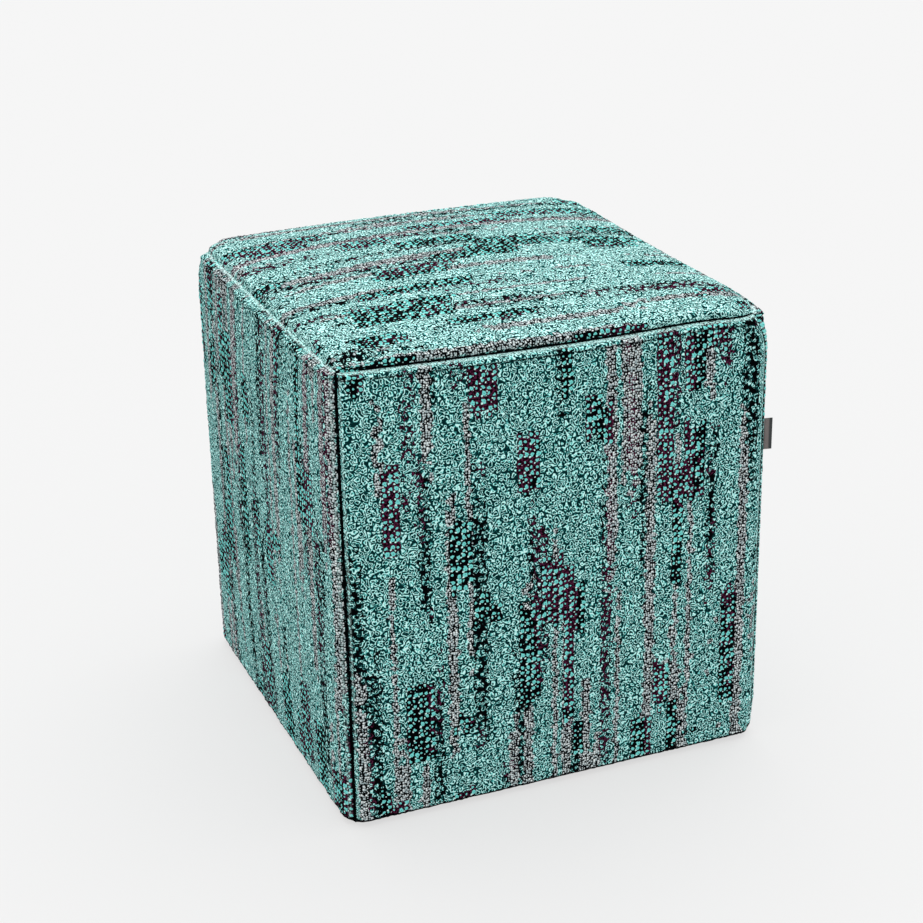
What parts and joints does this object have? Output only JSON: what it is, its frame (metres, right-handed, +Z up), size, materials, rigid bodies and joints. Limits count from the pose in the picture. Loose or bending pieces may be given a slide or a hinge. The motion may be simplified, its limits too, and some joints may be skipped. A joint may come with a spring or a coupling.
{
  "type": "cube pouf stool",
  "caption": "Filled cube pouf stool with a crowned top, mitred panels sewn edge to edge, a lapped top seam and a small folded side label.",
  "frame": {"origin": "middle of the flat base, on the floor", "axes": "+Z up; -Y is the front panel; +X is the right panel, and the label stands out of the seam between them"},
  "size_m": [0.4266, 0.4248, 0.4525],
  "materials": {
    "cover": "looped boucle weave in teal, with woven streaks of black, plum and grey",
    "base": "plain dark base cloth",
    "label": "plain woven tape"
  },
  "bodies": {
    "root": {"top_panel": "cover", "front_panel": "cover", "right_panel": "cover", "back_panel": "cover", "left_panel": "cover", "base_panel": "base", "label": "label"}
  },
  "joints": []
}
